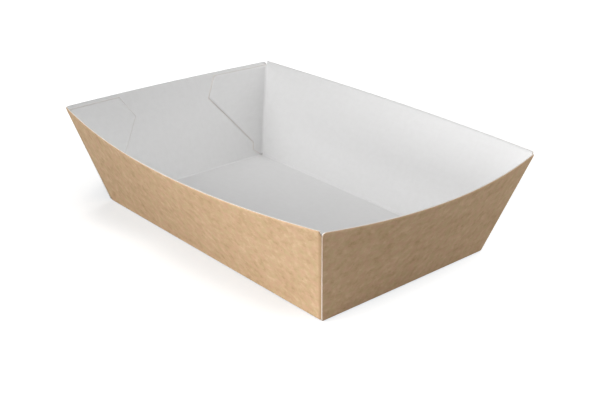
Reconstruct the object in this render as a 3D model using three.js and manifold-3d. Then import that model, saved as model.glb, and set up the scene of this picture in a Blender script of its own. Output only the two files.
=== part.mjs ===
// A paper food tray, folded from one flat blank of kraft board with a white inner face.
//
// The blank has a rectangular base, two long walls, two end walls and four glue flaps.
// A glue flap hangs on each end of a long wall. It turns the corner on a crease and is
// glued to the inner face of the end wall, so the end wall's cut edge shows outside the
// corner. The walls lean out, and each one springs outwards in a curve between its two
// corners, because it is held straight along its base crease and free along its rim.
//
// X runs along the tray, Y across it and Z up. The origin is the middle of the underside.

import * as THREE from "three";
import { mergeVertices } from "three/addons/utils/BufferGeometryUtils.js";
import Module from "manifold-3d";

const wasm = await Module();
wasm.setup();

// Driving dimensions, in millimetres.
const boardThickness = 0.5;
const baseLength = 150; // between the creases of the end walls
const baseWidth = 94; // between the creases of the long walls
const trayHeight = 47; // table to the rim at a corner
const endFlare = 13.3; // how far a corner leans out along the tray
const sideFlare = 13.7; // how far a corner leans out across the tray
const sideBow = 9.6; // how far a long wall's rim springs out at its middle
const endBow = 7.5; // how far an end wall's rim springs out at its middle
const baseCreaseInset = 0.75; // the base is flat up to here, then turns up into a wall
const baseStrip = 2; // a wall brings this much of the flat base with it, mitred at corners
const cornerCreaseRadius = 0.3; // inside radius where a long wall turns into its flap
const rimCornerRadius = 2; // the rounded top corners of the end walls

// Outline of a glue flap. Lengths run from the corner crease along the end wall, and
// heights run up the end wall from its base crease.
const flapRimGap = 1.8; // the flap's top edge lies this far under the rim
const flapTopLength = 31;
const flapReach = 34.5; // its longest point, at the foot of the slanted end
const flapReachHeight = 35.8;
const flapFootLength = 6.2; // a short step between the two lower diagonals
const flapFootHeight = 8;
const flapFootStep = 3.7;
const flapRootHeight = 1.1; // the flap starts here, just clear of the end wall's base crease
const flapRootLength = 1.4;
const gluePress = 0.15; // the glued faces are pressed into each other this far

// How finely the curved walls are divided.
const sideColumns = 14; // in half a long wall
const endColumns = 10; // in half an end wall
const endRows = 7; // up an end wall
const flapColumns = 6;
const diagonalRows = 4; // up the long diagonal of a flap
const creaseSteps = 3; // in every folded edge
const roundSteps = 3; // in the rounded top corner of an end wall

// Each kind of wall in its own terms: "along" its crease, "out" from the middle, and up.
const longWall = {
  halfCrease: baseLength / 2,
  spread: endFlare,
  creaseOut: baseWidth / 2,
  flare: sideFlare,
  bow: sideBow,
  toTray: (along, out, up) => new THREE.Vector3(along, out, up),
};
const endWall = {
  halfCrease: baseWidth / 2,
  spread: sideFlare,
  creaseOut: baseLength / 2,
  flare: endFlare,
  bow: endBow,
  toTray: (along, out, up) => new THREE.Vector3(out, along, up),
};

// The rim seen from the crease, a fraction "across" of the way from the middle to a corner.
function rimAbove(wall, across) {
  const lean = Math.atan2(wall.flare, trayHeight);
  const bow = wall.bow * (1 - across ** 2);
  return { out: wall.flare + bow * Math.cos(lean), up: trayHeight - bow * Math.sin(lean) };
}

// Half the wall's length at a fraction "rise" of the way from its crease to its rim.
function halfLength(wall, rise) {
  return wall.halfCrease + wall.spread * rise;
}

// The outward direction of a wall's face, which tips sideways where the bow slopes.
function wallNormal(wall, across, rise) {
  const rim = rimAbove(wall, across);
  const panel = Math.hypot(rim.out, rim.up);
  const slope = (-2 * wall.bow * across * rise) / halfLength(wall, rise);
  return wall.toTray(-slope, rim.up / panel, -rim.out / panel).normalize();
}

// A point on a wall, "depth" millimetres in from its outer face.
function wallPoint(wall, along, rise, depth) {
  const across = along / halfLength(wall, rise);
  const rim = rimAbove(wall, across);
  const face = wall.toTray(along, wall.creaseOut + rim.out * rise, rim.up * rise);
  return face.addScaledVector(wallNormal(wall, across, rise), -depth);
}

// Both faces of a wall at one place of the sheet.
function wallSpot(wall, along, rise) {
  return {
    outer: wallPoint(wall, along, rise, 0),
    inner: wallPoint(wall, along, rise, boardThickness),
  };
}

// How far up a wall its base crease ends, as a fraction of the wall's own height there.
function creaseRise(wall, across) {
  const rim = rimAbove(wall, across);
  return baseCreaseInset / Math.hypot(rim.out, rim.up);
}

// A place in the base crease: an arc from the flat base, turn 0, to the wall, turn 1.
function creaseSpot(wall, along, across, turn) {
  const rim = rimAbove(wall, across);
  const fullTurn = Math.atan2(rim.up, rim.out);
  const radius = baseCreaseInset / Math.tan(fullTurn / 2);
  const angle = fullTurn * turn;
  const at = (r) => wall.toTray(
    along,
    wall.creaseOut - baseCreaseInset + r * Math.sin(angle),
    radius - r * Math.cos(angle),
  );
  return { outer: at(radius), inner: at(radius - boardThickness) };
}

// The crease between a long wall and its flap, at one height. Its centre line lies one
// board and one inside radius in from the long wall, and one board more from the end wall.
function cornerCrease(rise) {
  const sideNormal = wallNormal(longWall, 1, rise);
  const endNormal = wallNormal(endWall, 1, rise);
  const alongWall = new THREE.Vector3(-sideNormal.y, sideNormal.x, 0).normalize();
  const outerRadius = boardThickness + cornerCreaseRadius;
  const setback =
    (boardThickness + outerRadius - outerRadius * sideNormal.dot(endNormal)) /
    -alongWall.dot(endNormal);
  const start = halfLength(longWall, rise) + alongWall.x * setback;
  const centre = wallPoint(longWall, start, rise, outerRadius);
  const end = centre.clone().addScaledVector(endNormal, boardThickness + outerRadius).y;
  return { start, centre, end, sideNormal, endNormal, outerRadius };
}

// A blank's panel: a grid of places, each with an outer and an inner point, that may share
// edges with other panels. Quads that share an edge are joined, and every free edge of the
// sheet gets a narrow face across the board's thickness.
class Sheet {
  constructor() {
    this.ids = new Map();
    this.points = [];
    this.quads = [];
  }

  spotId(spot) {
    const key = spot.outer.toArray().map((value) => Math.round(value * 1e4) + 0).join(" ");
    if (!this.ids.has(key)) {
      this.ids.set(key, this.points.length / 2);
      this.points.push(spot.outer, spot.inner);
    }
    return this.ids.get(key);
  }

  addQuad(corners) {
    const ids = corners.map((spot) => this.spotId(spot));
    const [p, q, , s] = corners.map((spot) => spot.outer);
    const normal = q.clone().sub(p).cross(s.clone().sub(p));
    const outwards = corners[0].outer.clone().sub(corners[0].inner);
    this.quads.push(normal.dot(outwards) > 0 ? ids : [ids[0], ids[3], ids[2], ids[1]]);
  }

  // Adds a grid of places in the quarter with X and Y above zero, mirrored as asked.
  addGrid(rows, signX, signY) {
    const mirror = new THREE.Vector3(signX, signY, 1);
    const placed = rows.map((row) => row.map((spot) => ({
      outer: spot.outer.clone().multiply(mirror),
      inner: spot.inner.clone().multiply(mirror),
    })));
    for (let j = 0; j + 1 < placed.length; j += 1) {
      for (let i = 0; i + 1 < placed[j].length; i += 1) {
        this.addQuad([placed[j][i], placed[j][i + 1], placed[j + 1][i + 1], placed[j + 1][i]]);
      }
    }
  }

  // The closed solid: the outer faces, the inner faces turned round, and the cut edges.
  toSolid() {
    const triangles = [];
    const square = (a, b, c, d) => triangles.push(a, b, c, a, c, d);
    const directed = new Set();
    for (const quad of this.quads) {
      square(...quad.map((id) => 2 * id));
      square(...quad.map((id) => 2 * id + 1).reverse());
      quad.forEach((id, n) => directed.add(`${id} ${quad[(n + 1) % 4]}`));
    }
    for (const edge of directed) {
      const [a, b] = edge.split(" ").map(Number);
      if (!directed.has(`${b} ${a}`)) {
        square(2 * b, 2 * a, 2 * a + 1, 2 * b + 1);
      }
    }
    const vertProperties = new Float32Array(this.points.flatMap((point) => point.toArray()));
    const mesh = new wasm.Mesh({
      numProp: 3,
      vertProperties,
      triVerts: new Uint32Array(triangles),
    });
    return new wasm.Manifold(mesh);
  }
}

const fractions = (count) => Array.from({ length: count + 1 }, (_, n) => n / count);

// The flap's outline as heights up the end wall, each with the flap's length there.
const panelHeight = Math.hypot(endFlare, trayHeight);
const flapOutline = [
  { height: flapRootHeight, length: flapRootLength },
  { height: flapFootHeight - flapFootStep, length: flapFootLength },
  ...fractions(diagonalRows).map((step) => ({
    height: THREE.MathUtils.lerp(flapFootHeight, flapReachHeight, step),
    length: THREE.MathUtils.lerp(flapFootLength, flapReach, step),
  })),
  { height: panelHeight - flapRimGap, length: flapTopLength },
];

// Above its first row, a long wall's rows lie at the flap's heights, so that the wall and
// the flap share a crease. The last row is the wall's rim, over the flap's top edge.
const sideRises = [
  baseCreaseInset / panelHeight,
  ...flapOutline.slice(0, -1).map((mark) => mark.height / panelHeight),
  1,
];

// The base crease of a wall in one quarter. It starts with a strip of the flat base and
// grows from the flat base's corner to the length "topHalf" of the wall where it ends.
function creaseGrid(wall, places, topHalf) {
  const baseHalf = wall.halfCrease - baseCreaseInset;
  const inwards = wall.toTray(0, -baseStrip, 0);
  const strip = places.map((place) => {
    const { outer, inner } = creaseSpot(wall, place * (baseHalf - baseStrip), place, 0);
    return { outer: outer.add(inwards), inner: inner.add(inwards) };
  });
  const arc = fractions(creaseSteps).slice(0, -1).map((turn) => places.map((place) => {
    const along = place * THREE.MathUtils.lerp(baseHalf, topHalf, turn);
    return creaseSpot(wall, along, place, turn);
  }));
  return [strip, ...arc];
}

// Half a long wall, from its base crease to its rim and from its middle to its corner.
function longWallGrid() {
  const places = fractions(sideColumns);
  const firstEnd = cornerCrease(sideRises[0]).start;
  const creaseRows = creaseGrid(longWall, places, firstEnd);
  const wallRows = sideRises.map((rise, row) => {
    const end = cornerCrease(rise).start;
    return places.map((place) => {
      const level = row === 0 ? creaseRise(longWall, place) : rise;
      return wallSpot(longWall, place * end, level);
    });
  });
  return { creaseRows, wallRows };
}

// A flap with its corner crease. The crease's first column is the long wall's last one.
function flapGrid(wallEdge) {
  return flapOutline.map((mark, row) => {
    const rise = mark.height / panelHeight;
    const fold = cornerCrease(rise);
    const turned = fractions(creaseSteps).slice(1, -1).map((turn) => {
      const facing = fold.sideNormal.clone().lerp(fold.endNormal, turn).normalize();
      const reach = fold.outerRadius + gluePress * turn;
      return {
        outer: fold.centre.clone().addScaledVector(facing, reach),
        inner: fold.centre.clone().addScaledVector(facing, cornerCreaseRadius),
      };
    });
    const flat = fractions(flapColumns).map((place) => {
      const along = fold.end - place * mark.length;
      return {
        outer: wallPoint(endWall, along, rise, boardThickness - gluePress),
        inner: wallPoint(endWall, along, rise, 2 * boardThickness),
      };
    });
    return [wallEdge[row], ...turned, ...flat];
  });
}

// The places of an end wall's columns: even steps, then the steps of its rounded corner.
const roundAngles = fractions(roundSteps).map((turn) => (turn * Math.PI) / 2);
const rimHalf = halfLength(endWall, 1);
const endPlaces = [
  ...fractions(endColumns).slice(0, -1).map((n) => n * (1 - rimCornerRadius / rimHalf)),
  ...roundAngles.map((angle) => 1 - (rimCornerRadius * (1 - Math.sin(angle))) / rimHalf),
];

// How far below the rim the rounded corner lies at a place along the end wall.
function cornerDrop(place) {
  const fromEdge = Math.min(rimHalf * (1 - place), rimCornerRadius);
  const chord = Math.sqrt(rimCornerRadius ** 2 - (rimCornerRadius - fromEdge) ** 2);
  return rimCornerRadius - chord;
}

// Half an end wall. Its cut edge is level with the long wall's outer face.
function endWallGrid() {
  const firstEnd = halfLength(endWall, baseCreaseInset / panelHeight);
  const creaseRows = creaseGrid(endWall, endPlaces, firstEnd);
  const wallRows = fractions(endRows).map((step) => endPlaces.map((place) => {
    const foot = creaseRise(endWall, place);
    const top = 1 - cornerDrop(place) / panelHeight;
    const rise = THREE.MathUtils.lerp(foot, top, step);
    return wallSpot(endWall, place * halfLength(endWall, rise), rise);
  }));
  return { creaseRows, wallRows };
}

// The middle of the flat base. It reaches half way into the strips that the walls bring.
function flatBase() {
  const margin = baseCreaseInset + baseStrip / 2;
  const geometry = new THREE.BoxGeometry(
    baseLength - 2 * margin,
    baseWidth - 2 * margin,
    boardThickness,
  );
  return solidFromGeometry(geometry.translate(0, 0, boardThickness / 2));
}

// A long wall with the flaps on its two ends, as one sheet.
function longWallWithFlaps(signY) {
  const { creaseRows, wallRows } = longWallGrid();
  const flap = flapGrid(wallRows.slice(1).map((row) => row[row.length - 1]));
  const sheet = new Sheet();
  for (const signX of [1, -1]) {
    sheet.addGrid([...creaseRows, ...wallRows], signX, signY);
    sheet.addGrid(flap, signX, signY);
  }
  return sheet.toSolid();
}

// An end wall, from its strip of the base to its rim.
function wholeEndWall(signX) {
  const { creaseRows, wallRows } = endWallGrid();
  const sheet = new Sheet();
  for (const signY of [1, -1]) {
    sheet.addGrid([...creaseRows, ...wallRows], signX, signY);
  }
  return sheet.toSolid();
}

// Turns a closed geometry into a solid that can be joined.
function solidFromGeometry(geometry) {
  geometry.deleteAttribute("normal");
  geometry.deleteAttribute("uv");
  const merged = mergeVertices(geometry);
  const mesh = new wasm.Mesh({
    numProp: 3,
    vertProperties: new Float32Array(merged.attributes.position.array),
    triVerts: new Uint32Array(merged.index.array),
  });
  return new wasm.Manifold(mesh);
}

// Turns a finished solid back into a geometry with its own facets' normals.
function toGeometry(solid) {
  const { vertProperties, triVerts, numProp } = solid.getMesh();
  const position = new Float32Array((vertProperties.length / numProp) * 3);
  for (let n = 0; n < position.length / 3; n += 1) {
    position.set(vertProperties.subarray(n * numProp, n * numProp + 3), n * 3);
  }
  const geometry = new THREE.BufferGeometry();
  geometry.setAttribute("position", new THREE.BufferAttribute(position, 3));
  geometry.setIndex(Array.from(triVerts));
  const merged = mergeVertices(geometry);
  merged.computeVertexNormals();
  return merged;
}

const folded = [-1, 1].reduce(
  (solid, sign) => solid.add(longWallWithFlaps(sign)).add(wholeEndWall(sign)),
  flatBase(),
);

const kraftBoard = new THREE.MeshStandardMaterial({
  name: "kraft board",
  color: 0xc79f70,
  roughness: 0.9,
  metalness: 0,
});

const tray = new THREE.Mesh(toGeometry(folded), kraftBoard);
tray.name = "tray";

const foodTray = new THREE.Group();
foodTray.name = "paper food tray";
foodTray.add(tray);

export default foodTray;
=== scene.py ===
"""A paper food tray: one blank of kraft board, white inside, folded and glued at its corners."""

import math

import bpy
import numpy as np
from mathutils import Matrix, Vector


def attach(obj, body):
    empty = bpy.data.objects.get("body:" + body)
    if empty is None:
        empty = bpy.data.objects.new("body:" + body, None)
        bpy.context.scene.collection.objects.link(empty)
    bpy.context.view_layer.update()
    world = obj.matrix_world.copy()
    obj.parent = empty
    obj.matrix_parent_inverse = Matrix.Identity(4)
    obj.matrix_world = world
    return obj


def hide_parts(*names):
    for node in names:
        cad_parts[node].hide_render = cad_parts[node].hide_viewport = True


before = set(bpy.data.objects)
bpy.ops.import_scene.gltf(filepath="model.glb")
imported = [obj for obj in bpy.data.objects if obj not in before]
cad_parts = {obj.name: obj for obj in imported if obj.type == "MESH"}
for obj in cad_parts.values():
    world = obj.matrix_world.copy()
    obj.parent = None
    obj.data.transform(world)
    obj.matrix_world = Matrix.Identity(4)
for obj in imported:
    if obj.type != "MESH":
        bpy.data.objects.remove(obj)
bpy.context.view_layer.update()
scene = bpy.context.scene
scene.view_settings.view_transform = "Standard"

# The camera stands before the near corner, a little above the rim, with a short telephoto
# view and a slight roll, as in the photograph.
CAMERA_AZIMUTH = math.radians(48.18)
CAMERA_ELEVATION = math.radians(23.77)
CAMERA_ROLL = math.radians(0.9)
CAMERA_DISTANCE = 0.4987
CAMERA_TARGET = Vector((-0.0170, 0.0229, 0.0))
FOCAL_PIXELS = 1030.0
IMAGE_WIDTH = 600.0
SENSOR_WIDTH = 36.0
NEAREST = 0.01


def camera_place(azimuth, elevation, roll, distance, target):
    """The camera's matrix: it looks along minus "back", and the roll turns right towards up."""
    back = Vector((
        math.sin(azimuth) * math.cos(elevation),
        -math.cos(azimuth) * math.cos(elevation),
        math.sin(elevation),
    ))
    level = Vector((math.cos(azimuth), math.sin(azimuth), 0.0))
    upright = back.cross(level)
    right = level * math.cos(roll) + upright * math.sin(roll)
    up = upright * math.cos(roll) - level * math.sin(roll)
    place = Matrix((right, up, back)).transposed().to_4x4()
    place.translation = target + back * distance
    return place


camera = bpy.data.cameras.new("camera")
camera.sensor_width = SENSOR_WIDTH
camera.lens = SENSOR_WIDTH * FOCAL_PIXELS / IMAGE_WIDTH
camera.clip_start = NEAREST
camera_object = bpy.data.objects.new("camera", camera)
camera_object.matrix_world = camera_place(
    CAMERA_AZIMUTH, CAMERA_ELEVATION, CAMERA_ROLL, CAMERA_DISTANCE, CAMERA_TARGET
)
scene.collection.objects.link(camera_object)
scene.camera = camera_object

# The blank, folded: a flat base, two long walls, two end walls and four glue flaps, all of
# one board. Each panel is a grid of places with an outer and an inner face. The panels meet
# at rounded creases, and a wall springs outwards between its corners. Sizes are in millimetres.
BOARD = 0.5
BASE_LENGTH = 150.0
BASE_WIDTH = 94.0
HEIGHT = 47.0
END_FLARE = 13.3
SIDE_FLARE = 13.7
SIDE_BOW = 9.6
END_BOW = 7.5
CREASE_INSET = 0.75
CORNER_CREASE_RADIUS = 0.3
END_CORNER_RADIUS = 2.0
SIDE_CORNER_RADIUS = 0.8
PANEL_HEIGHT = math.hypot(END_FLARE, HEIGHT)
MILLIMETRE = 0.001

LONG_WALL = {
    "half_crease": BASE_LENGTH / 2,
    "spread": END_FLARE,
    "crease_out": BASE_WIDTH / 2,
    "flare": SIDE_FLARE,
    "bow": SIDE_BOW,
    "order": (0, 1, 2),
}
END_WALL = {
    "half_crease": BASE_WIDTH / 2,
    "spread": SIDE_FLARE,
    "crease_out": BASE_LENGTH / 2,
    "flare": END_FLARE,
    "bow": END_BOW,
    "order": (1, 0, 2),
}


def in_tray(wall, along, out, up):
    """Places given along, out from and up a wall, as X, Y and Z of the tray."""
    parts = np.broadcast_arrays(along, out, up)
    return np.stack([parts[n] for n in wall["order"]], axis=-1)


def rim_above(wall, across):
    """The rim seen from the crease: the corner's flare and height, plus a bow square to the
    leaning wall that is full in the middle and falls to nothing as the square of "across"."""
    lean = math.atan2(wall["flare"], HEIGHT)
    bow = wall["bow"] * (1 - across**2)
    return wall["flare"] + bow * math.cos(lean), HEIGHT - bow * math.sin(lean)


def half_length(wall, rise):
    """Half a wall's length, growing evenly from its crease, rise 0, to its rim, rise 1."""
    return wall["half_crease"] + wall["spread"] * rise


def wall_normal(wall, across, rise):
    """The outward normal: square to the panel's section, tipped back by the bow's slope."""
    out, up = rim_above(wall, across)
    panel = np.hypot(out, up)
    slope = -2 * wall["bow"] * across * rise / half_length(wall, rise)
    normal = in_tray(wall, -slope, up / panel, -out / panel)
    return normal / np.linalg.norm(normal, axis=-1, keepdims=True)


def wall_point(wall, along, rise, depth):
    """A place on a straight generator from crease to rim, "depth" in from the outer face."""
    across = along / half_length(wall, rise)
    out, up = rim_above(wall, across)
    face = in_tray(wall, along, wall["crease_out"] + out * rise, up * rise)
    return face - np.asarray(depth)[..., None] * wall_normal(wall, across, rise)


# A crease is pressed into the flat blank, and folding it raises a soft ridge on the inside.
BEAD_HEIGHT = 0.3
BEAD_WIDTH = 0.5
BEAD_OFFSET = 0.35
GROOVE_DEPTH = 0.14
GROOVE_WIDTH = 0.3
GROOVE_OFFSET = 0.8
CREASE_REACH = 2.4  # the rows are close together this far from a crease


def bead(distance):
    """The ridge that a crease raises on the inner face: a bell over the crease line, with a
    narrow groove beside it."""
    ridge = BEAD_HEIGHT * np.exp(-(((distance + BEAD_OFFSET) / BEAD_WIDTH) ** 2))
    groove = GROOVE_DEPTH * np.exp(-(((distance - GROOVE_OFFSET) / GROOVE_WIDTH) ** 2))
    return ridge - groove


# The corner creases are pressed more lightly.
CORNER_BEAD_HEIGHT = 0.26
CORNER_BEAD_WIDTH = 0.6


def corner_bead(distance):
    """The ridge of a corner crease: a bell over the crease line, with no groove."""
    return CORNER_BEAD_HEIGHT * np.exp(-((distance / CORNER_BEAD_WIDTH) ** 2))


def corner_crease(rise):
    """The slanted crease at each height. Its centre lies a board and an inside radius in from
    the long wall, and one board more in from the end wall, whose inner face the flap meets.
    The setback along the wall follows from the angle between the two walls' normals."""
    one = np.ones_like(rise)
    side = wall_normal(LONG_WALL, one, rise)
    end = wall_normal(END_WALL, one, rise)
    inwards = np.stack([-side[..., 1], side[..., 0], 0 * rise], axis=-1)
    inwards /= np.linalg.norm(inwards, axis=-1, keepdims=True)
    radius = BOARD + CORNER_CREASE_RADIUS
    setback = (BOARD + radius - radius * (side * end).sum(-1)) / -(inwards * end).sum(-1)
    start = half_length(LONG_WALL, rise) + inwards[..., 0] * setback
    centre = wall_point(LONG_WALL, start, rise, radius * one)
    finish = (centre + end * (BOARD + radius))[..., 1]
    return start, centre, finish, side, end


def round_drop(distance, radius):
    """How far a corner of that radius lies below the straight edge, at a distance in: the
    radius less the circle's height there."""
    inside = np.clip(distance, 0, radius)
    return radius - np.sqrt(radius**2 - (radius - inside) ** 2)


def spaced(total, close, step, close_step):
    """Distances from 0 to total, every "step", and every "close_step" in the last "close"."""
    far = np.linspace(0, total - close, max(2, round((total - close) / step) + 1))
    near = np.linspace(total - close, total, max(2, round(close / close_step) + 1))
    return np.concatenate([far[:-1], near])


# Rows through the base crease: the flat strip, and then the arc.
STRIP_ROWS = 8
ARC_ROWS = 13
crease_levels = np.concatenate([
    np.linspace(-CREASE_REACH, -CREASE_INSET, STRIP_ROWS)[:-1],
    np.linspace(-CREASE_INSET, CREASE_INSET, ARC_ROWS)[:-1],
])

# The flap's outline, as heights up the end wall and lengths from the corner crease.
FLAP_RIM_GAP = 2.2
FLAP_TOP = PANEL_HEIGHT - FLAP_RIM_GAP
FLAP_HEIGHTS = (1.1, 4.3, 8.0, 35.8, FLAP_TOP)
FLAP_LENGTHS = (1.4, 6.2, 6.2, 34.5, 31.0)
FLAP_ROUNDING = 0.45
CLOSE_REACH = 1.5  # the close rows round a corner span this many roundings each way
CLOSE_ROWS = 7
EVEN_ROWS = 36
FOOT_ROWS = 7


def flap_heights():
    """Even rows from the foot to the flap's top, with close rows round each outline corner."""
    corners = np.array(FLAP_HEIGHTS[1:-1])
    reach = FLAP_ROUNDING * np.linspace(-CLOSE_REACH, CLOSE_REACH, CLOSE_ROWS)
    close = (corners[:, None] + reach).reshape(-1)
    even = np.linspace(CREASE_REACH, FLAP_TOP, EVEN_ROWS)
    clear = np.abs(even[:, None] - close).min(axis=1) > FLAP_ROUNDING / 2
    foot = np.linspace(FLAP_HEIGHTS[0], CREASE_REACH, FOOT_ROWS)[:-1]
    return np.sort(np.concatenate([foot, even[clear], close]))


def stretched(height, old_top, new_top):
    """Heights above the crease's reach, moved in proportion so that the top meets a new top."""
    share = (height - CREASE_REACH) / (old_top - CREASE_REACH)
    return np.where(share > 0, CREASE_REACH + share * (new_top - CREASE_REACH), height)


flap_levels = flap_heights()
wall_levels = np.append(CREASE_INSET, stretched(flap_levels, FLAP_TOP, PANEL_HEIGHT))


def crease_sheet(wall, places, levels, top_half):
    """The flat strip and the arc of a base crease: an arc that starts and ends one inset from
    the crease line and turns through the angle between base and wall, so that its radius is
    the inset over the tangent of half that angle."""
    place, level = np.meshgrid(places, levels)
    out, up = rim_above(wall, place)
    full = np.arctan2(up, out)
    radius = CREASE_INSET / np.tan(full / 2)
    turn = np.clip((level + CREASE_INSET) / (2 * CREASE_INSET), 0, 1)
    angle = full * turn
    base_half = wall["half_crease"] + np.minimum(level, -CREASE_INSET)
    half = base_half + turn * (top_half - base_half)
    flat = np.minimum(level + CREASE_INSET, 0)
    middle = wall["crease_out"] - CREASE_INSET + flat

    def at(r):
        return in_tray(wall, place * half, middle + r * np.sin(angle), radius - r * np.cos(angle))

    return at(radius), at(radius - BOARD - bead(level)), place * half, level


def wall_heights(wall, along_rim_share, levels, drop):
    """Heights up each generator: the low levels as they are, the rest stretched to its rim."""
    out, up = rim_above(wall, along_rim_share)
    return stretched(levels, PANEL_HEIGHT, np.hypot(out, up) - drop)


# The long walls, in one quarter of the tray: columns from the middle to the corner crease.
LONG_STEP = 2.2
CORNER_STEP = 0.2
rim_start = float(corner_crease(np.array(1.0))[0])
side_distances = spaced(rim_start, CREASE_REACH, LONG_STEP, CORNER_STEP)
side_places = side_distances / side_distances[-1]
foot_rise = CREASE_INSET / PANEL_HEIGHT
side_foot = float(corner_crease(np.array(foot_rise))[0])


def long_wall_sheet():
    """Rows at fixed heights and columns at fixed shares of the way to the corner crease. The
    rim drops in a small round just before the crease."""
    outer, inner, along, level = crease_sheet(LONG_WALL, side_places, crease_levels, side_foot)
    place, height = np.meshgrid(side_places, wall_levels)
    drop = round_drop((1 - place) * side_distances[-1], SIDE_CORNER_RADIUS)
    height = wall_heights(LONG_WALL, place, height, drop)
    out, up = rim_above(LONG_WALL, place)
    rise = height / np.hypot(out, up)
    start = corner_crease(rise)[0]
    to_corner = (1 - place) * start
    thick = BOARD + bead(height) + corner_bead(to_corner)
    walls = [wall_point(LONG_WALL, place * start, rise, d) for d in (0 * thick, thick)]
    top = np.hypot(out, up) - drop - height
    return {
        "outer": np.concatenate([outer, walls[0]]),
        "inner": np.concatenate([inner, walls[1]]),
        "blank": np.stack([
            np.concatenate([along, place * start]),
            BASE_WIDTH / 2 + np.concatenate([level, height]),
        ], axis=-1),
        "to_edge": np.concatenate([0 * level + HEIGHT, top]),
        "to_crease": np.concatenate([np.abs(level), np.minimum(height, to_corner)]),
        "glued": np.zeros((len(level) + len(height), len(side_places))),
    }


# The glue flaps, one on each end of a long wall: the corner crease, then a flap that lies on
# the end wall's inner face, with a slanted end, a long diagonal, a short step and a foot. It
# is pressed a little into the glued wall, and thinner at its free edges.
GLUE_PRESS = 0.15
EDGE_THINNING = 0.25
THIN_REACH = 0.4
FOLD_COLUMNS = 9
FLAP_COLUMNS = 29
CROWDING = 1.6  # the columns crowd towards the crease by this power
OUTLINE_SAMPLES = 9


def flap_length(height):
    """The outline, with its corners rounded by averaging it over a short run of heights."""
    run = np.linspace(-FLAP_ROUNDING, FLAP_ROUNDING, OUTLINE_SAMPLES)
    lengths = [np.interp(height + step, FLAP_HEIGHTS, FLAP_LENGTHS) for step in run]
    return np.mean(lengths, axis=0)


def flap_sheet(wall_edge):
    """Columns round the crease from the wall's own last column, then out to the outline. In
    the crease the facing turns evenly from the long wall's normal to the end wall's, and the
    top falls from the long wall's rim to the flap's. Clear of the crease the flap thins as
    the exponential of minus the distance to its edge."""
    height = flap_levels
    rise = height / PANEL_HEIGHT
    start, _, finish, _, _ = corner_crease(rise)
    turns = np.linspace(0, 1, FOLD_COLUMNS)[1:-1]
    fold_drop = SIDE_CORNER_RADIUS + (FLAP_RIM_GAP - SIDE_CORNER_RADIUS) * turns
    fold_height = stretched(flap_levels[:, None], FLAP_TOP, PANEL_HEIGHT - fold_drop)
    _, centre, _, side, end = corner_crease(fold_height / PANEL_HEIGHT)
    facing = side * (1 - turns[:, None]) + end * turns[:, None]
    facing /= np.linalg.norm(facing, axis=-1, keepdims=True)
    fold_outer = centre + facing * (BOARD + CORNER_CREASE_RADIUS + GLUE_PRESS * turns)[:, None]
    fold_inner = centre + facing * (CORNER_CREASE_RADIUS - CORNER_BEAD_HEIGHT)
    share = np.linspace(0, 1, FLAP_COLUMNS) ** CROWDING
    out = flap_length(height)[:, None] * share
    along = finish[:, None] - out
    rises = rise[:, None] + 0 * out
    flap_outer = wall_point(END_WALL, along, rises, BOARD - GLUE_PRESS + 0 * out)
    below_top = (FLAP_TOP - height)[:, None]
    to_edge = np.minimum(below_top, out[:, -1:] - out)
    thinned = EDGE_THINNING * np.exp(-to_edge / THIN_REACH) * np.clip(out / CREASE_REACH, 0, 1)
    flap_inner = wall_point(END_WALL, along, rises, 2 * BOARD - thinned + corner_bead(out))
    fold_run = turns * (BOARD + CORNER_CREASE_RADIUS)
    blank_along = np.concatenate([
        wall_edge["blank"][:, :1, 0],
        start[:, None] + fold_run,
        start[:, None] + fold_run[-1] + out,
    ], axis=1)
    blank_out = np.concatenate([
        wall_edge["blank"][:, :1, 1],
        BASE_WIDTH / 2 + fold_height,
        BASE_WIDTH / 2 + height[:, None] + 0 * out,
    ], axis=1)
    return {
        "outer": np.concatenate([wall_edge["outer"], fold_outer, flap_outer], axis=1),
        "inner": np.concatenate([wall_edge["inner"], fold_inner, flap_inner], axis=1),
        "blank": np.stack([blank_along, blank_out], axis=-1),
        "to_edge": np.concatenate([
            wall_edge["to_edge"], below_top + 0 * facing[..., 0], to_edge
        ], axis=1),
        "to_crease": np.concatenate([
            wall_edge["to_crease"], 0 * facing[..., 0], np.minimum(height[:, None], out)
        ], axis=1),
        "glued": np.concatenate([
            wall_edge["glued"], 0 * facing[..., 0], np.ones_like(out)
        ], axis=1),
    }


# The end walls, in one quarter: columns from the middle to the raw cut edge at the corner.
# Their rims lie a little lower than the long walls' at the corners.
END_RIM_DROP = 0.45
END_STEP = 2.0
end_distances = spaced(half_length(END_WALL, 1), END_CORNER_RADIUS, END_STEP, CORNER_STEP)
end_places = end_distances / end_distances[-1]
end_foot = half_length(END_WALL, foot_rise)


def end_wall_sheet():
    """Rows and columns as on a long wall, out to an edge that is level with the long wall's
    outer face. The rim ends in a round corner."""
    outer, inner, along, level = crease_sheet(END_WALL, end_places, crease_levels, end_foot)
    place, height = np.meshgrid(end_places, wall_levels)
    from_end = (1 - place) * end_distances[-1]
    drop = END_RIM_DROP + round_drop(from_end, END_CORNER_RADIUS)
    height = wall_heights(END_WALL, place, height, drop)
    out, up = rim_above(END_WALL, place)
    rise = height / np.hypot(out, up)
    reach = place * half_length(END_WALL, rise)
    thick = BOARD + bead(height)
    walls = [wall_point(END_WALL, reach, rise, d) for d in (0 * thick, thick)]
    top = np.hypot(out, up) - drop - height
    return {
        "outer": np.concatenate([outer, walls[0]]),
        "inner": np.concatenate([inner, walls[1]]),
        "blank": np.stack([
            BASE_LENGTH / 2 + np.concatenate([level, height]),
            np.concatenate([along, reach]),
        ], axis=-1),
        "to_edge": np.concatenate([0 * level + HEIGHT, np.minimum(top, from_end)]),
        "to_crease": np.concatenate([np.abs(level), height]),
        "glued": np.zeros((len(level) + len(height), len(end_places))),
    }


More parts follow.
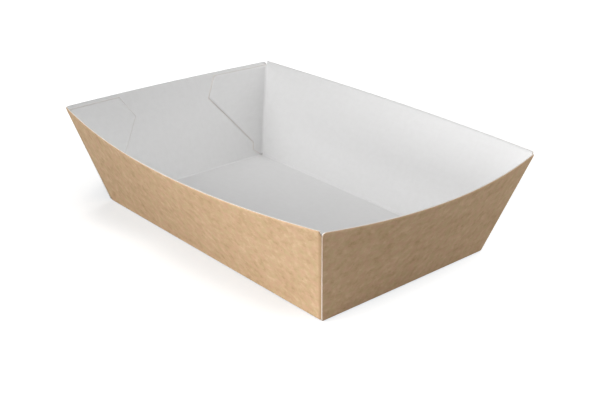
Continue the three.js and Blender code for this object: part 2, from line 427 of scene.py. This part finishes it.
def base_sheet():
    """The flat middle of the base, with the columns of both kinds of wall."""
    x, y = np.meshgrid(
        side_places * (BASE_LENGTH / 2 - CREASE_REACH),
        end_places * (BASE_WIDTH / 2 - CREASE_REACH),
    )
    return {
        "outer": np.stack([x, y, 0 * x], axis=-1),
        "inner": np.stack([x, y, 0 * x + BOARD + bead(-CREASE_REACH)], axis=-1),
        "blank": np.stack([x, y], axis=-1),
        "to_edge": 0 * x + HEIGHT,
        "to_crease": np.minimum(BASE_LENGTH / 2 - x, BASE_WIDTH / 2 - y),
        "glued": 0 * x,
    }


# Measures that each place keeps for the finishes: millimetres to the nearest cut edge and to
# the nearest crease, and one on a glued flap, else nothing.
MEASURES = ("to_edge", "to_crease", "glued")
OUTER_SLOT, INNER_SLOT, EDGE_SLOT = 0, 1, 2
MEETING_DECIMALS = 4


def mirrored_quads(sheet, sign_x, sign_y):
    """One panel's places in one quarter of the tray and its quads, wound to face outwards."""
    signs = np.array([sign_x, sign_y, 1])
    rows, columns = sheet["outer"].shape[:2]
    index = np.arange(rows * columns).reshape(rows, columns)
    quads = np.stack([index[:-1, :-1], index[:-1, 1:], index[1:, 1:], index[1:, :-1]], axis=-1)
    quads = quads.reshape(-1, 4)
    outer = sheet["outer"].reshape(-1, 3) * signs
    inner = sheet["inner"].reshape(-1, 3) * signs
    p, q, _, s = outer[quads].transpose(1, 0, 2)
    facing = (np.cross(q - p, s - p) * (outer - inner)[quads[:, 0]]).sum(-1)
    quads = np.where(facing[:, None] > 0, quads, quads[:, ::-1])
    blank = sheet["blank"].reshape(-1, 2) * signs[:2]
    measures = np.stack([sheet[label].reshape(-1) for label in MEASURES], axis=-1)
    return outer, inner, blank, measures, quads


def folded_board(name, sheets):
    """Joins the panels where their places meet, and closes every free edge of the board with
    a strip of cut edge. An edge is free where no other quad runs along it the other way."""
    parts = [mirrored_quads(sheet, x, y) for sheet in sheets for x in (1, -1) for y in (1, -1)]
    starts = np.cumsum([0] + [len(part[0]) for part in parts])
    quads = np.concatenate([part[4] + start for part, start in zip(parts, starts)])
    outer, inner, blank, measures = (np.concatenate([p[n] for p in parts]) for n in range(4))
    keys = np.round(outer, MEETING_DECIMALS) + 0.0
    _, first, place_of = np.unique(keys, axis=0, return_index=True, return_inverse=True)
    place_of = place_of.reshape(-1)
    quads = place_of[quads]
    outer, inner, blank, measures = outer[first], inner[first], blank[first], measures[first]
    count = len(outer)
    tails, heads = quads.reshape(-1), np.roll(quads, -1, axis=1).reshape(-1)
    free = ~np.isin(tails * count + heads, heads * count + tails)
    tails, heads = tails[free], heads[free]
    strips = np.stack([heads, tails, tails + count, heads + count], axis=-1)
    faces = np.concatenate([quads, quads[:, ::-1] + count, strips])
    mesh = bpy.data.meshes.new(name)
    mesh.from_pydata(np.concatenate([outer, inner]) * MILLIMETRE, [], faces)
    counts = [len(quads), len(quads), len(strips)]
    slots = np.repeat([OUTER_SLOT, INNER_SLOT, EDGE_SLOT], counts)
    mesh.polygons.foreach_set("material_index", slots.astype(np.int32))
    mesh.polygons.foreach_set("use_smooth", np.ones(len(faces), bool))
    corners = np.empty(len(mesh.loops), np.int32)
    mesh.loops.foreach_get("vertex_index", corners)
    uv = mesh.uv_layers.new(name="blank")
    uv.uv.foreach_set("vector", np.tile(blank * MILLIMETRE, (2, 1))[corners].reshape(-1))
    kept = {label: np.tile(measures[:, n], 2) for n, label in enumerate(MEASURES)}
    kept["through"] = np.repeat([0.0, 1.0], count)
    for label, values in kept.items():
        attribute = mesh.attributes.new(label, "FLOAT", "POINT")
        attribute.data.foreach_set("value", values.astype(np.float32))
    sharp = mesh.attributes.new("sharp_face", "BOOLEAN", "FACE")
    sharp.data.foreach_set("value", slots == EDGE_SLOT)
    mesh.validate()
    board = bpy.data.objects.new(name, mesh)
    scene.collection.objects.link(board)
    return board


long_wall = long_wall_sheet()
corner_edge = {key: grid[-(len(wall_levels) - 1):, -1:] for key, grid in long_wall.items()}
tray_board = folded_board(
    "tray_board", [base_sheet(), long_wall, end_wall_sheet(), flap_sheet(corner_edge)]
)
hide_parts("tray")
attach(tray_board, "root")


# The board's outer face is unbleached kraft: warm brown, with soft clouds of thicker and
# thinner fibre, short fibres lying every way, and a few dark flecks of bark. It is redder
# where a cut has frayed it. Along the creases it is painted darker, a painted shade where
# the fold turns away from the light.
KRAFT_DARK = (0.5, 0.325, 0.178, 1)
KRAFT_MIDDLE = (0.64, 0.44, 0.262, 1)
KRAFT_LIGHT = (0.76, 0.555, 0.358, 1)
KRAFT_OLIVE = (0.63, 0.475, 0.265, 1)
KRAFT_ROSY = (0.68, 0.435, 0.285, 1)
KRAFT_FLECK = (0.3, 0.19, 0.11, 1)
KRAFT_WORN = (0.78, 0.6, 0.42, 1)
KRAFT_CREASE_SHADE = (0.46, 0.29, 0.16, 1)
KRAFT_FRAYED = (0.76, 0.48, 0.36, 1)
KRAFT_GLOSS = 0.12
KRAFT_SMOOTH, KRAFT_PLAIN, KRAFT_ROUGH = 0.6, 0.7, 0.8

# The kraft's patterns, with their scale for each millimetre of board, and how strongly each
# one shows.
CLOUDS = {"scale": 0.3, "detail": 4.0, "roughness": 0.6}
PATCHES = {"scale": 0.09, "detail": 1.0}
GRAIN = {"scale": 1.6, "detail": 3.0, "roughness": 0.65, "distortion": 0.4}
FIBRES = {"scale": 1.1, "detail": 2.5, "roughness": 0.6, "distortion": 0.8}
FIBRES_LONG, FIBRES_SHORT, FIBRE_TURN = 0.8, 1.4, math.radians(12)
CLOUD_SHARE, PATCH_SHARE, FIBRE_SHARE, GRAIN_SHARE = 1.4, 0.5, 0.25, 0.3
DARK_TONE, LIGHT_TONE = 0.84, 1.74
OLIVE_CLOUDS, OLIVE_TURN = {"scale": 0.26}, 1.0
ROSY_CLOUDS, ROSY_TURN = {"scale": 0.3}, 2.2
HUE_FROM, HUE_TO, HUE_SHARE = 0.46, 0.66, 0.55
DARK_MARKS = {"scale": 0.2, "size": 0.05, "share": 0.08}
DARK_STRETCH, DARK_TURN, DARK_SHARE = (1, 0.6, 1), 0.7, 0.45
PALE_MARKS = {"scale": 0.3, "size": 0.1, "share": 0.3}
PALE_STRETCH, PALE_TURN, PALE_SHARE = (0.6, 1, 1), -0.4, 0.3
FRAY_REACH, FRAY_SHARE = 0.45, 0.6
# The band beside a crease that gets painted shade on the kraft and a painted highlight on the
# coat.
CREASE_SHADING_FROM, CREASE_SHADING_TO, CREASE_SHADE_SHARE = 0.2, 1.1, 0.6
FIBRE_LOW, FIBRE_HIGH = 0.6, 1.4
KRAFT_BUMP, KRAFT_RELIEF = 0.12, 0.00006


def add_node(tree, kind, settings=None, inputs=None):
    """Adds a node to a material. An input is a plain value or another node's output."""
    made = tree.nodes.new(kind)
    for key, value in (settings or {}).items():
        setattr(made, key, value)
    for key, value in (inputs or {}).items():
        if isinstance(value, bpy.types.NodeSocket):
            tree.links.new(value, made.inputs[key])
        else:
            made.inputs[key].default_value = value
    return made


def new_finish(name, colour, roughness, gloss):
    """A material whose even colour, roughness and gloss are set on the shader's own sockets."""
    made = bpy.data.materials.new(name)
    made.use_nodes = True
    shader = made.node_tree.nodes["Principled BSDF"]
    shader.inputs["Base Color"].default_value = colour
    shader.inputs["Roughness"].default_value = roughness
    shader.inputs["Specular IOR Level"].default_value = gloss
    return made, made.node_tree, shader


def blank_place(tree, stretch=(1, 1, 1), turn=0.0):
    """Places on the flat blank in millimetres, turned and stretched for one pattern."""
    place = add_node(tree, "ShaderNodeUVMap", {"uv_map": "blank"})
    return add_node(tree, "ShaderNodeMapping", None, {
        "Vector": place.outputs[0],
        "Rotation": (0, 0, turn),
        "Scale": tuple(s / MILLIMETRE for s in stretch),
    }).outputs[0]


def noise(tree, place, scale, detail=2.0, roughness=0.5, distortion=0.0):
    """Soft noise from 0 to 1 with its middle near a half."""
    return add_node(tree, "ShaderNodeTexNoise", {"noise_dimensions": "2D"}, {
        "Vector": place, "Scale": scale, "Detail": detail, "Roughness": roughness,
        "Distortion": distortion,
    }).outputs[0]


def span(tree, value, low, high, to_low=0.0, to_high=1.0, smooth=True):
    """Carries the run from low to high over to another run, held at both ends."""
    return add_node(tree, "ShaderNodeMapRange", {
        "interpolation_type": "SMOOTHSTEP" if smooth else "LINEAR",
    }, {
        "Value": value, "From Min": low, "From Max": high, "To Min": to_low, "To Max": to_high,
    }).outputs[0]


def combine(tree, kind, first, second):
    """Two numbers added, multiplied or otherwise worked into one."""
    return add_node(tree, "ShaderNodeMath", {"operation": kind}, {0: first, 1: second}).outputs[0]


def weighted(tree, parts):
    """The sum of patterns, each times its share."""
    total = 0.0
    for pattern, share in parts:
        total = combine(tree, "ADD", total, combine(tree, "MULTIPLY", pattern, share))
    return total


def blended(tree, share, first, second):
    """From the first colour to the second by a share."""
    share_socket, first_socket, second_socket, result_socket = 0, 6, 7, 2
    mix = add_node(tree, "ShaderNodeMix", {"data_type": "RGBA"}, {
        share_socket: share, first_socket: first, second_socket: second,
    })
    return mix.outputs[result_socket]


def measure(tree, label):
    """A measure kept on the mesh, such as the distance to the nearest edge."""
    return add_node(tree, "ShaderNodeAttribute", {"attribute_name": label}).outputs["Fac"]


def marks(tree, place, scale, size, share):
    """Small spots, one in each cell of the pattern, kept in a share of the cells. A spot is
    full out to half its size and then fades."""
    core, softness = 0.5, 0.02
    cells = add_node(tree, "ShaderNodeTexVoronoi", {"voronoi_dimensions": "2D"}, {
        "Vector": place, "Scale": scale,
    })
    spot = span(tree, cells.outputs["Distance"], size * core, size, 1.0, 0.0)
    pick = add_node(tree, "ShaderNodeSeparateColor", None, {0: cells.outputs["Color"]}).outputs[0]
    kept = span(tree, pick, 1 - share - softness, 1 - share)
    return combine(tree, "MULTIPLY", spot, kept)


def roughened(tree, shader, height, strength, distance):
    """Lets a height pattern tip the surface a little, as far as its strength and distance."""
    bump = add_node(tree, "ShaderNodeBump", None, {
        "Height": height, "Strength": strength, "Distance": distance,
    })
    tree.links.new(bump.outputs[0], shader.inputs["Normal"])


kraft, tree, shader = new_finish("kraft_face", KRAFT_MIDDLE, KRAFT_PLAIN, KRAFT_GLOSS)
flat_place = blank_place(tree)
clouds = noise(tree, flat_place, **CLOUDS)
patches = noise(tree, flat_place, **PATCHES)
grain = noise(tree, flat_place, **GRAIN)
fibres = combine(
    tree, "ADD",
    noise(tree, blank_place(tree, (FIBRES_LONG, FIBRES_SHORT, 1), FIBRE_TURN), **FIBRES),
    noise(tree, blank_place(tree, (FIBRES_SHORT, FIBRES_LONG, 1), FIBRE_TURN), **FIBRES),
)
tone = weighted(tree, (
    (clouds, CLOUD_SHARE), (patches, PATCH_SHARE), (fibres, FIBRE_SHARE), (grain, GRAIN_SHARE),
))
ramp = add_node(tree, "ShaderNodeValToRGB", None, {
    0: span(tree, tone, DARK_TONE, LIGHT_TONE, smooth=False),
})
ramp.color_ramp.elements[0].color = KRAFT_DARK
ramp.color_ramp.elements[1].color = KRAFT_LIGHT
ramp.color_ramp.elements.new(0.5).color = KRAFT_MIDDLE
colour = ramp.outputs[0]
for pattern, turn, hue in (
    (OLIVE_CLOUDS, OLIVE_TURN, KRAFT_OLIVE),
    (ROSY_CLOUDS, ROSY_TURN, KRAFT_ROSY),
):
    hue_clouds = noise(tree, blank_place(tree, turn=turn), **pattern)
    share = span(tree, hue_clouds, HUE_FROM, HUE_TO, 0.0, HUE_SHARE)
    colour = blended(tree, share, colour, hue)
for pattern, stretch, turn, strength, hue in (
    (DARK_MARKS, DARK_STRETCH, DARK_TURN, DARK_SHARE, KRAFT_FLECK),
    (PALE_MARKS, PALE_STRETCH, PALE_TURN, PALE_SHARE, KRAFT_WORN),
):
    spots = marks(tree, blank_place(tree, stretch, turn), **pattern)
    colour = blended(tree, combine(tree, "MULTIPLY", spots, strength), colour, hue)
frayed = span(tree, measure(tree, "to_edge"), 0.0, FRAY_REACH, FRAY_SHARE, 0.0)
colour = blended(tree, frayed, colour, KRAFT_FRAYED)
to_crease = measure(tree, "to_crease")
# Painted shade: the kraft is darkened along every crease, where the fold turns away from the
# light.
crease_shade = span(tree, to_crease, CREASE_SHADING_FROM, CREASE_SHADING_TO, CREASE_SHADE_SHARE, 0.0)
colour = blended(tree, crease_shade, colour, KRAFT_CREASE_SHADE)
tree.links.new(colour, shader.inputs["Base Color"])
dullness = span(tree, fibres, FIBRE_LOW, FIBRE_HIGH, KRAFT_SMOOTH, KRAFT_ROUGH)
tree.links.new(dullness, shader.inputs["Roughness"])
roughened(tree, shader, combine(tree, "ADD", fibres, grain), KRAFT_BUMP, KRAFT_RELIEF)

# The inner face has a thin white clay coat: matt, nearly even, with the faintest cloud of
# the board under it. The ridges of the creases are painted whiter, a painted highlight where
# they catch the light, and a thin grey line of painted shadow runs round the edges of the
# glued flaps, where a small gap lies in shade.
COAT_WHITE = (0.83, 0.828, 0.826, 1)
COAT_GREY = (0.806, 0.803, 0.8, 1)
COAT_RIDGE_HIGHLIGHT = (0.95, 0.948, 0.946, 1)
COAT_GAP_SHADOW = (0.55, 0.49, 0.44, 1)
COAT_GLOSS = 0.15
COAT_SMOOTH, COAT_PLAIN, COAT_ROUGH = 0.52, 0.6, 0.68
COAT_CLOUDS = {"scale": 0.35, "detail": 3.0, "roughness": 0.6, "distortion": 0.3}
STREAKS = {"scale": 0.6}
STREAK_STRETCH, STREAK_TURN, STREAK_SHARE = (0.2, 1.2, 1), math.radians(4), 0.4
GREY_TONE, WHITE_TONE = 0.45, 0.95
RIDGE_HIGHLIGHT_SHARE = 0.7
GAP_SHADOW_FROM, GAP_SHADOW_TO, GAP_SHADOW_SHARE = 0.15, 0.6, 0.4
NOISE_LOW, NOISE_HIGH = 0.3, 0.7  # most of a noise lies between these
COAT_BUMP, COAT_RELIEF = 0.25, 0.00004

white, tree, shader = new_finish("white_face", COAT_WHITE, COAT_PLAIN, COAT_GLOSS)
clouds = noise(tree, blank_place(tree), **COAT_CLOUDS)
streaks = noise(tree, blank_place(tree, STREAK_STRETCH, STREAK_TURN), **STREAKS)
tone = weighted(tree, ((clouds, 1.0), (streaks, STREAK_SHARE)))
paleness = span(tree, tone, GREY_TONE, WHITE_TONE, smooth=False)
colour = blended(tree, paleness, COAT_GREY, COAT_WHITE)
to_crease = measure(tree, "to_crease")
# Painted highlight: the coat is whitened along every crease, where the ridge catches the light.
ridge = span(tree, to_crease, CREASE_SHADING_FROM, CREASE_SHADING_TO, RIDGE_HIGHLIGHT_SHARE, 0.0)
colour = blended(tree, ridge, colour, COAT_RIDGE_HIGHLIGHT)
# Painted shadow: a thin grey line on the glued flaps just in from their edges, for the shade in
# the small gap there.
beside_edge = span(tree, measure(tree, "to_edge"), GAP_SHADOW_FROM, GAP_SHADOW_TO, GAP_SHADOW_SHARE, 0.0)
line = combine(tree, "MULTIPLY", measure(tree, "glued"), beside_edge)
colour = blended(tree, line, colour, COAT_GAP_SHADOW)
tree.links.new(colour, shader.inputs["Base Color"])
dullness = span(tree, clouds, NOISE_LOW, NOISE_HIGH, COAT_SMOOTH, COAT_ROUGH)
tree.links.new(dullness, shader.inputs["Roughness"])
roughened(tree, shader, tone, COAT_BUMP, COAT_RELIEF)

# A cut edge shows the board's layers: a thin brown liner, a pale core and the white coat.
# The flaps' cut edges take a pinkish tan and are painted paler than the layers, a painted light
# for the shade they lie in, and a fine fuzz of fibre blurs the layers.
EDGE_LINER = (0.5, 0.3, 0.18, 1)
EDGE_CORE = (0.9, 0.85, 0.77, 1)
EDGE_COAT = (0.92, 0.91, 0.89, 1)
EDGE_FLAP_PAINTED_LIGHT = (0.93, 0.83, 0.77, 1)
EDGE_GLOSS = 0.2
EDGE_SMOOTH, EDGE_PLAIN, EDGE_ROUGH = 0.82, 0.9, 0.95
LINER_TO, CORE_FROM, CORE_TO, COAT_FROM = 0.06, 0.16, 0.8, 0.92
FLAP_EDGE_LIGHT_SHARE = 0.7
FUZZ = {"scale": 4.0}
FUZZ_SHIFT = 0.06
EDGE_BUMP, EDGE_RELIEF = 0.4, 0.00006

cut, tree, shader = new_finish("cut_edge", EDGE_CORE, EDGE_PLAIN, EDGE_GLOSS)
fuzz = noise(tree, blank_place(tree), **FUZZ)
shift = span(tree, fuzz, NOISE_LOW, NOISE_HIGH, -FUZZ_SHIFT, FUZZ_SHIFT)
depth = combine(tree, "ADD", measure(tree, "through"), shift)
layers = add_node(tree, "ShaderNodeValToRGB", None, {0: depth})
layers.color_ramp.elements[0].position = LINER_TO
layers.color_ramp.elements[0].color = EDGE_LINER
layers.color_ramp.elements[1].position = COAT_FROM
layers.color_ramp.elements[1].color = EDGE_COAT
layers.color_ramp.elements.new(CORE_FROM).color = EDGE_CORE
layers.color_ramp.elements.new(CORE_TO).color = EDGE_CORE
# Painted light: the glued flaps' cut edges are made paler to make up for the shade they lie in.
glued = combine(tree, "MULTIPLY", measure(tree, "glued"), FLAP_EDGE_LIGHT_SHARE)
colour = blended(tree, glued, layers.outputs[0], EDGE_FLAP_PAINTED_LIGHT)
tree.links.new(colour, shader.inputs["Base Color"])
dullness = span(tree, fuzz, NOISE_LOW, NOISE_HIGH, EDGE_SMOOTH, EDGE_ROUGH)
tree.links.new(dullness, shader.inputs["Roughness"])
roughened(tree, shader, fuzz, EDGE_BUMP, EDGE_RELIEF)

for finish in (kraft, white, cut):
    tray_board.data.materials.append(finish)

# The floor is a plain white sheet. The camera sees it paler than it lights the board, and it
# keeps the tray's soft shadow.
FLOOR_HALF = 3.0
FLOOR_GAP = 0.0001
FLOOR_WHITE = (0.45, 0.45, 0.45, 1)
FLOOR_ROUGH, FLOOR_GLOSS = 1.0, 0.0
floor_mesh = bpy.data.meshes.new("floor")
corners = np.array([(-1, -1), (1, -1), (1, 1), (-1, 1)]) * FLOOR_HALF
floor_mesh.from_pydata(np.column_stack([corners, np.full(4, -FLOOR_GAP)]), [], [(0, 1, 2, 3)])
floor = bpy.data.objects.new("floor", floor_mesh)
scene.collection.objects.link(floor)
floor_white, tree, shader = new_finish("floor_white", FLOOR_WHITE, FLOOR_ROUGH, FLOOR_GLOSS)


def seen(tree):
    """One for what the camera sees, straight, in a gloss or through glass; else nothing."""
    path = add_node(tree, "ShaderNodeLightPath").outputs
    mirrored = combine(tree, "MAXIMUM", path["Is Glossy Ray"], path["Is Transmission Ray"])
    return combine(tree, "MAXIMUM", path["Is Camera Ray"], mirrored)


# How open the floor is to the light, from the foot of a wall out to clear floor, and the
# paleness that goes with it in the picture. The foot's shadow is deepest under the left end
# and faint on the right, and the floor goes to full white away from the tray.
FOOT_OPEN, CLEAR_OPEN = 0.34, 0.52
FOOT_GLOW, CLEAR_GLOW = 0.55, 0.83
RIGHT_FOOT_GLOW = 0.88
RIGHT_FROM, RIGHT_TO = 0.05, 0.1
LEFT_FROM, LEFT_TO, LEFT_DEEPER = -0.09, -0.02, 0.2
OPEN_REACH, OPEN_SAMPLES = 0.08, 16
FAR_FROM, FAR_TO, FAR_GLOW = 0.12, 0.3, 0.3
FOOT_TINT = (0.94, 0.975, 1.0, 1)
GLOW_WHITE = (1.0, 1.0, 1.0, 1)
spot = add_node(tree, "ShaderNodeTexCoord").outputs["Object"]
rightwards = add_node(tree, "ShaderNodeSeparateXYZ", None, {0: spot}).outputs[0]
foot_glow = span(tree, rightwards, RIGHT_FROM, RIGHT_TO, FOOT_GLOW, RIGHT_FOOT_GLOW)
deeper = span(tree, rightwards, LEFT_FROM, LEFT_TO, LEFT_DEEPER, 0.0)
away = add_node(tree, "ShaderNodeVectorMath", {"operation": "LENGTH"}, {0: spot}).outputs["Value"]
far_glow = span(tree, away, FAR_FROM, FAR_TO, 0.0, FAR_GLOW)
openness = add_node(tree, "ShaderNodeAmbientOcclusion", {"samples": OPEN_SAMPLES}, {
    "Distance": OPEN_REACH,
}).outputs["AO"]
openness = combine(tree, "SUBTRACT", openness, deeper)
near_glow = span(tree, openness, FOOT_OPEN, CLEAR_OPEN, foot_glow, CLEAR_GLOW, smooth=False)
clear = span(tree, openness, FOOT_OPEN, CLEAR_OPEN)
glow = add_node(tree, "ShaderNodeEmission", None, {
    "Color": blended(tree, clear, FOOT_TINT, GLOW_WHITE),
    "Strength": combine(tree, "MULTIPLY", seen(tree), combine(tree, "ADD", near_glow, far_glow)),
})
pale = add_node(tree, "ShaderNodeAddShader", None, {0: shader.outputs[0], 1: glow.outputs[0]})
tree.links.new(pale.outputs[0], tree.nodes["Material Output"].inputs["Surface"])
floor_mesh.materials.append(floor_white)

# Soft studio light. A broad lamp stands before the long wall and a soft beam lies on its near
# end. Two lamps on the right, one low and one high, light the inside and draw the shadow.
# Each lamp has its place, its size in metres and its power in watts.
LAMPS = {
    "front_left": ((-0.30, -0.90, 0.58), 0.6, 8.7),
    "low_right": ((1.00, 0.60, 0.50), 0.6, 5.5),
    "high_right": ((0.50, 0.45, 1.10), 0.4, 4.5),
}
BEAM_PLACE = Vector((0.07, -0.75, 0.105))
BEAM_AIM = Vector((0.09, -0.06, 0.03))
BEAM_ANGLE = math.radians(24)
BEAM_BLEND = 1.0
BEAM_SOFTNESS = 0.08
BEAM_POWER = 10.5


def hang(name, lamp, place, aim):
    """Places a lamp so that its back is turned away from what it lights."""
    made = bpy.data.objects.new(name, lamp)
    turn = (Vector(place) - Vector(aim)).to_track_quat("Z", "Y").to_matrix().to_4x4()
    made.matrix_world = Matrix.Translation(place) @ turn
    made.visible_camera = False
    scene.collection.objects.link(made)


for name, (place, size, power) in LAMPS.items():
    panel = bpy.data.lights.new(name, "AREA")
    panel.size = size
    panel.energy = power
    hang(name, panel, place, (0, 0, 0))
beam = bpy.data.lights.new("beam", "SPOT")
beam.spot_size = BEAM_ANGLE
beam.spot_blend = BEAM_BLEND
beam.shadow_soft_size = BEAM_SOFTNESS
beam.energy = BEAM_POWER
hang("beam", beam, BEAM_PLACE, BEAM_AIM)

# The surround is white to the camera and gives no light of its own to the board.
SURROUND_LIGHT, SURROUND_SEEN = 0.0, 1.0
world = bpy.data.worlds.new("surround")
world.use_nodes = True
tree = world.node_tree
backdrop = tree.nodes["Background"]
backdrop.inputs["Color"].default_value = GLOW_WHITE
strength = span(tree, seen(tree), 0.0, 1.0, SURROUND_LIGHT, SURROUND_SEEN)
tree.links.new(strength, backdrop.inputs["Strength"])
scene.world = world
